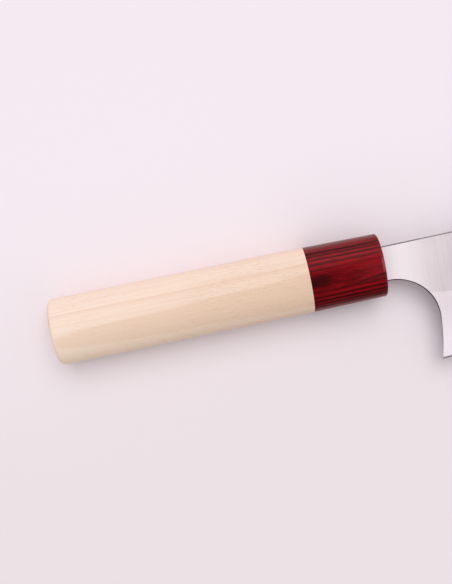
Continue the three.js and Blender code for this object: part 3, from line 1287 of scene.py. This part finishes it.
@dataclass
class Blade:
    """The steel blade with its neck, choil and stick tang.

    The levels are shares of a face's normal that point out of the blade's sides: 1 on a face that lies
    flat and 0 on a wall.
    """

    length: float = 210.0 * MM
    heel_height: float = 49.3 * MM
    spine_above_axis: float = 6.95 * MM
    spine_rise: float = math.tan(math.radians(0.45))
    point_drop: float = 17.0 * MM
    point_drop_length: float = 95.0 * MM
    point_drop_power: float = 2.2
    edge_rise: float = math.tan(math.radians(2.4))
    belly_power: float = 3.2
    neck_height: float = 13.7 * MM
    neck_flat: float = 1.7 * MM
    choil_reach: float = 19.8 * MM
    choil_curve_height: float = 17.9 * MM
    heel_setback: float = 1.9 * MM
    spine_thickness: float = 2.1 * MM
    point_thickness: float = 0.9 * MM
    spine_ease: float = 0.25 * MM
    choil_ease: float = 0.55 * MM
    grind_depth: float = 23.9 * MM
    grind_rise: float = 2.3 * MM
    grind_rise_reach: float = 9.0 * MM
    grind_power: float = 1.6
    edge_shoulder: float = 0.36 * MM
    edge_bevel: float = 0.75 * MM
    point_blend: float = 9.0 * MM
    tang_length: float = TANG_LENGTH
    tang_root_height: float = 8.5 * MM
    tang_end_height: float = 5.0 * MM
    tang_end_chamfer: float = 1.6 * MM
    tang_thickness: float = 1.8 * MM
    tang_in_neck: float = 3.0 * MM
    stations: int = 170
    station_crowding: float = 1.5
    ease_steps: int = 5
    grind_steps: int = 18
    choil_steps: int = 48
    flat_level: float = 0.995
    flat_level_near_point: float = 0.9
    bevel_level: float = 0.5
    wall_level: float = 0.1
    honed_share: float = 0.95
    sharp_angle: float = math.radians(28)

    def __post_init__(self) -> None:
        """Takes the blade's place from the frame."""
        self.mouth_x = front_x("ferrule")
        self.heel_x = self.mouth_x + self.choil_reach - self.heel_setback
        self.point_x = self.heel_x + self.length
        self.heel_y = self.spine_at(self.heel_x) - self.heel_height
        self.neck_underside = self.spine_above_axis - self.neck_height

    def spine_at(self, x: float) -> float:
        """Height of the spine.

        Args:
            x: place along the blade.

        Returns:
            The height there, which falls towards the point.
        """
        along = max(0.0, (x - self.point_x + self.point_drop_length) / self.point_drop_length)
        straight = self.spine_above_axis + self.spine_rise * (x - self.mouth_x)
        return straight - self.point_drop * along ** self.point_drop_power

    def edge_at(self, x: float) -> float:
        """Height of the cutting edge.

        Args:
            x: place along the blade.

        Returns:
            The height there, which rises along the belly.
        """
        straight = self.heel_y + self.edge_rise * (x - self.heel_x)
        rise = self.spine_at(self.point_x) - self.heel_y - self.edge_rise * self.length
        return straight + rise * max(0.0, (x - self.heel_x) / self.length) ** self.belly_power

    def grind_at(self, x: float) -> float:
        """Height of the line where the grind starts.

        Args:
            x: place along the blade.

        Returns:
            The height there, which rises a little towards the heel.
        """
        depth = self.grind_depth / self.heel_height * (self.spine_at(x) - self.edge_at(x))
        rise = self.grind_rise * math.exp((self.heel_x - x) / self.grind_rise_reach)
        return self.spine_at(x) - depth + rise

    def section(self, x: float) -> list[Vector]:
        """The blade's outline across x.

        Args:
            x: place along the blade.

        Returns:
            Points down the right face from the spine to the edge, and up the left face.
        """
        top = self.spine_at(x)
        bottom = self.edge_at(x)
        shrink = min(1.0, (top - bottom) / self.point_blend)
        along = (x - self.mouth_x) / (self.point_x - self.mouth_x)
        half = lerp(self.spine_thickness, self.point_thickness, along) / 2
        ease = self.spine_ease * shrink
        grind_y = min(self.grind_at(x), top - 2 * ease)
        shoulder_y = bottom + self.edge_bevel * shrink
        right = []
        for step in range(self.ease_steps + 1):
            angle = math.pi / 2 * step / self.ease_steps
            right.append((top - ease * (1 - math.cos(angle)), half - ease * (1 - math.sin(angle))))
        for step in range(self.grind_steps + 1):
            down = step / self.grind_steps
            half_here = lerp(half, self.edge_shoulder / 2, down ** self.grind_power)
            right.append((lerp(grind_y, shoulder_y, down), half_here))
        left = [(y, -z) for y, z in reversed(right)]
        return [Vector((x, y, z)) for y, z in [*right, (bottom, 0.0), *left]]

    def build(self) -> None:
        """Lofts the ground blade, cuts the choil, adds the tang and finishes the faces."""
        blade = new_object("ground_blade", mesh_from("ground_blade", self._loft))
        choil = self._choil_cutter()
        tang_half = self.tang_thickness / 2
        tang = stacked("tang", [(z, self._tang_outline()) for z in (-tang_half, tang_half)])
        combine(blade, choil, Action.CUT)
        combine(blade, tang, Action.JOIN)
        settle(blade, [choil, tang])
        self._finish(blade.data)
        hand_over(blade, "blade")

    def _loft(self, work: bmesh.types.BMesh) -> None:
        """Spans a skin over the sections, from the ferrule's mouth to the point.

        Args:
            work: the empty bmesh.
        """
        reach = self.point_x - self.mouth_x
        rings = []
        for step in range(self.stations):
            left = (1 - step / self.stations) ** self.station_crowding
            rings.append([work.verts.new(point) for point in self.section(self.point_x - reach * left)])
        point = work.verts.new((self.point_x, self.spine_at(self.point_x), 0.0))
        work.faces.new(rings[0])
        walls(work, rings)
        last = rings[-1]
        for k in range(len(last)):
            work.faces.new((last[k], last[(k + 1) % len(last)], point))

    def _choil_cutter(self) -> bpy.types.Object:
        """The choil's outline as a cutter that spreads at both faces, so that it leaves eased edges.

        Returns:
            The cutter.
        """
        spreads = []
        for step in range(self.ease_steps + 1):
            angle = math.pi / 2 * step / self.ease_steps
            z = self.spine_thickness / 2 - self.choil_ease * (1 - math.sin(angle))
            spreads.append((z, self.choil_ease * (1 - math.cos(angle))))
        spreads.append((2 * self.spine_thickness, self.choil_ease))
        spreads = [(-z, spread) for z, spread in reversed(spreads)] + spreads
        return stacked("choil", [(z, self._choil_outline(spread)) for z, spread in spreads])

    def _choil_outline(self, spread: float) -> list[Point2]:
        """What is cut away under the neck and behind the heel.

        Args:
            spread: how much further the cut reaches into the blade.

        Returns:
            The cut's (x, y) corners.
        """
        choil_x = self.mouth_x + self.choil_reach + spread
        heel_x = self.heel_x + spread
        neck_y = self.neck_underside + spread
        curve_end_y = self.neck_underside - self.choil_curve_height
        curve_x = self.mouth_x + self.neck_flat
        below_y = self.heel_y - self.heel_height
        behind_x = self.mouth_x - self.neck_flat
        outline = [(behind_x, neck_y), (behind_x, below_y), (heel_x - self.heel_setback, below_y)]
        bend = Vector((choil_x, (curve_end_y + self.heel_y) / 2))
        for step in range(self.choil_steps):
            share = step / self.choil_steps
            lower = Vector((heel_x, self.heel_y)).lerp(bend, share)
            upper = bend.lerp(Vector((choil_x, curve_end_y)), share)
            outline.append(tuple(lower.lerp(upper, share)))
        for step in range(self.choil_steps + 1):
            angle = math.pi / 2 * step / self.choil_steps
            x = curve_x + (choil_x - curve_x) * math.cos(angle)
            outline.append((x, curve_end_y + (neck_y - curve_end_y) * math.sin(angle)))
        return outline

    def _tang_outline(self) -> list[Point2]:
        """The stick tang, from inside the neck to its chamfered end.

        Returns:
            The tang's (x, y) corners.
        """
        root_x = self.mouth_x + self.tang_in_neck
        end_x = self.mouth_x - self.tang_length
        root_half = self.tang_root_height / 2
        end_half = self.tang_end_height / 2
        upper = [
            (root_x, root_half), (end_x + self.tang_end_chamfer, end_half),
            (end_x, end_half - self.tang_end_chamfer)]
        return upper + [(x, -y) for x, y in reversed(upper)]

    def _face_kind(self, face: bpy.types.MeshPolygon) -> SteelFace:
        """Sorts a face by where it lies and how it is tilted.

        Args:
            face: a face of the whole blade.

        Returns:
            The kind of finish that it has.
        """
        x, y, _ = face.center
        level = abs(face.normal.z)
        over_edge = y - self.edge_at(x)
        depth = self.spine_at(x) - self.edge_at(x)
        bevel = self.edge_bevel * min(1.0, depth / self.point_blend)
        if x > self.heel_x and over_edge < bevel * self.honed_share and level > self.bevel_level:
            return SteelFace.HONED
        near_point = depth < self.point_blend
        if level < (self.flat_level_near_point if near_point else self.flat_level):
            if over_edge > depth / 2 and face.normal.y > 0:
                return SteelFace.SPINE
            if x < self.mouth_x + self.choil_reach + 2 * self.choil_ease:
                return SteelFace.CHOIL if level > self.wall_level else SteelFace.SPINE
        past_neck = x > self.mouth_x + self.choil_reach / 2
        return SteelFace.GROUND if past_neck and y < self.grind_at(x) else SteelFace.FLAT

    @staticmethod
    def _steels() -> dict[SteelFace, Steel]:
        """The steel of each kind of face: its bright and dull tones, the tone of its painted reflection,
        and its roughness.

        Returns:
            The finishes.
        """
        return {
            SteelFace.FLAT: Steel(),
            SteelFace.GROUND: Steel(
                "steel_ground", srgb(241, 239, 241), srgb(233, 231, 233), srgb(250, 249, 252), 0.22,
                edge_painted_reflection=Fade(21.0, 35.0)),
            SteelFace.SPINE: Steel(
                "steel_spine", srgb(158, 151, 153), srgb(136, 130, 132), srgb(116, 110, 112), 0.38),
            # Painted shade: near-black eased edges round the choil, lightening towards the heel into
            # painted reflection.
            SteelFace.CHOIL: Steel(
                "steel_choil_painted_shade", srgb(34, 30, 31), srgb(27, 24, 25), srgb(168, 161, 164), 0.38,
                neck_painted_reflection=0.0, edge_painted_reflection=Fade(20.0, 32.0)),
            SteelFace.HONED: Steel(
                "steel_honed", srgb(168, 160, 164), srgb(150, 143, 147), srgb(158, 151, 155), 0.18)}

    def _finish(self, mesh: bpy.types.Mesh) -> None:
        """Gives each face its steel, with sharp lines where the finish changes.

        Args:
            mesh: the whole blade.
        """
        steels = self._steels()
        mesh.materials.clear()
        for kind in SteelFace:
            mesh.materials.append(steels[kind].material())
        for face in mesh.polygons:
            face.material_index = self._face_kind(face).value
            face.use_smooth = True
        mesh.set_sharp_from_angle(angle=self.sharp_angle)
        self._mark_lines(mesh)

    @staticmethod
    def _mark_lines(mesh: bpy.types.Mesh) -> None:
        """Keeps the shading of each kind of face from running over into the next.

        Args:
            mesh: the blade, with a finish on each face.
        """
        work = bmesh.new()
        work.from_mesh(mesh)
        for edge in work.edges:
            kinds = {face.material_index for face in edge.link_faces}
            if len(kinds) > 1:
                edge.smooth = False
        work.to_mesh(mesh)
        work.free()


# Studio

@dataclass(frozen=True)
class PhotoView:
    """Where the camera stood, from how the handle lies in the picture."""

    height_px: int = 584
    centre_px: Point2 = (226.0, 292.0)
    mouth_px: Point2 = (380.75, 264.84)
    focal_px: float = 813.7
    height: float = 318.0 * MM
    knife_roll: float = math.radians(8.6)
    axis_slope: float = math.radians(11.74)
    sensor: float = 36.0
    nearest: float = 0.01
    farthest: float = 100.0

    def build(self) -> None:
        """Makes the camera and gives it to the scene."""
        to_camera = Vector((0.0, math.sin(self.knife_roll), math.cos(self.knife_roll)))
        axis = Vector((1.0, 0.0, 0.0))
        spineward = to_camera.cross(axis)
        right = axis * math.cos(self.axis_slope) - spineward * math.sin(self.axis_slope)
        up = axis * math.sin(self.axis_slope) + spineward * math.cos(self.axis_slope)
        mouth = Vector((front_x("ferrule"), 0.0, 0.0))
        metres_per_px = self.height / self.focal_px
        across = (self.mouth_px[0] - self.centre_px[0]) * metres_per_px
        upward = (self.centre_px[1] - self.mouth_px[1]) * metres_per_px
        place = mouth - right * across - up * upward + to_camera * self.height
        data = bpy.data.cameras.new("photo_camera")
        data.sensor_width = self.sensor
        data.lens = self.focal_px / self.height_px * self.sensor
        data.clip_start = self.nearest
        data.clip_end = self.farthest
        camera = bpy.data.objects.new("photo_camera", data)
        turn = Matrix((right, up, to_camera)).transposed().to_4x4()
        camera.matrix_world = Matrix.Translation(place) @ turn
        bpy.context.scene.collection.objects.link(camera)
        bpy.context.scene.camera = camera


@dataclass
class Studio:
    """A pale floor that runs into a pale backdrop, a soft sky and one broad key light."""

    floor_half: float = 6.0
    backdrop: Colour = srgb(248, 237, 241)
    backdrop_strength: float = 0.95
    horizon: float = 0.42
    overhead: float = 0.62
    overhead_from: Fade = Fade(0.0, 0.75)
    lean: float = 0.06
    mirrored_horizon: float = 0.45
    mirrored_overhead: float = 1.08
    mirrored_from: Fade = Fade(0.0, 0.9)
    mirrored_lean: float = 0.25
    key_strength: float = 1.46
    key_angle: float = math.radians(48)
    key_from: Point3 = (0.12, 0.50, 0.86)

    def build(self) -> None:
        """Lays the floor, lights it and sets the camera."""
        self._floor()
        self._sky()
        self._key()
        PhotoView().build()
        bpy.context.scene.view_settings.view_transform = "Standard"

    def _floor(self) -> None:
        """A level floor that touches the lowest point of the grip."""
        level = CAD_BOX[0].z
        half = self.floor_half
        corners = [(-half, -half), (half, -half), (half, half), (-half, half)]
        mesh = bpy.data.meshes.new("floor")
        mesh.from_pydata([(x, y, level) for x, y in corners], [], [(0, 1, 2, 3)])
        mesh.materials.append(FloorPaint().material())
        new_object("floor", mesh)

    def _sky(self) -> None:
        """Bright overhead; what is seen of it, and in reflections, is the backdrop."""
        world = bpy.data.worlds.new("soft_sky")
        world.use_nodes = True
        world.node_tree.nodes.clear()
        graph = Graph(world.node_tree)
        _, y, z = graph.split(graph.node("ShaderNodeTexCoord").outputs["Generated"])
        ray = graph.node("ShaderNodeLightPath")
        glossy = graph.output(ray, "Is Glossy Ray")
        light = lerp(self.horizon, self.overhead, self.overhead_from.rise(z)) * (1 + y * self.lean)
        mirrored = lerp(self.mirrored_horizon, self.mirrored_overhead, self.mirrored_from.rise(z))
        mirrored = mirrored * (1 + y * self.mirrored_lean)
        sky = graph.node("ShaderNodeBackground", sockets={"Color": WHITE, "Strength": light})
        seen = graph.node("ShaderNodeBackground", sockets={
            "Color": self.backdrop, "Strength": lerp(self.backdrop_strength, mirrored, glossy)})
        looks = graph.output(ray, "Is Camera Ray") + glossy
        looks = graph.math("MINIMUM", looks + graph.output(ray, "Is Transmission Ray"), 1.0)
        both = graph.node("ShaderNodeMixShader", sockets={0: looks, 1: sky.outputs[0], 2: seen.outputs[0]})
        graph.node("ShaderNodeOutputWorld", sockets={"Surface": both.outputs[0]})
        bpy.context.scene.world = world

    def _key(self) -> None:
        """One broad soft light from above the spine."""
        data = bpy.data.lights.new("key_light", "SUN")
        data.energy = self.key_strength
        data.angle = self.key_angle
        lamp = bpy.data.objects.new("key_light", data)
        lamp.rotation_euler = (-Vector(self.key_from)).to_track_quat("-Z", "Y").to_euler()
        lamp.visible_glossy = False
        bpy.context.scene.collection.objects.link(lamp)


def main() -> None:
    """Builds the knife and its studio."""
    logging.basicConfig(level=logging.INFO, format="%(name)s %(message)s")
    Studio().build()
    Handle().build()
    Blade().build()


if __name__ == "__main__":
    main()
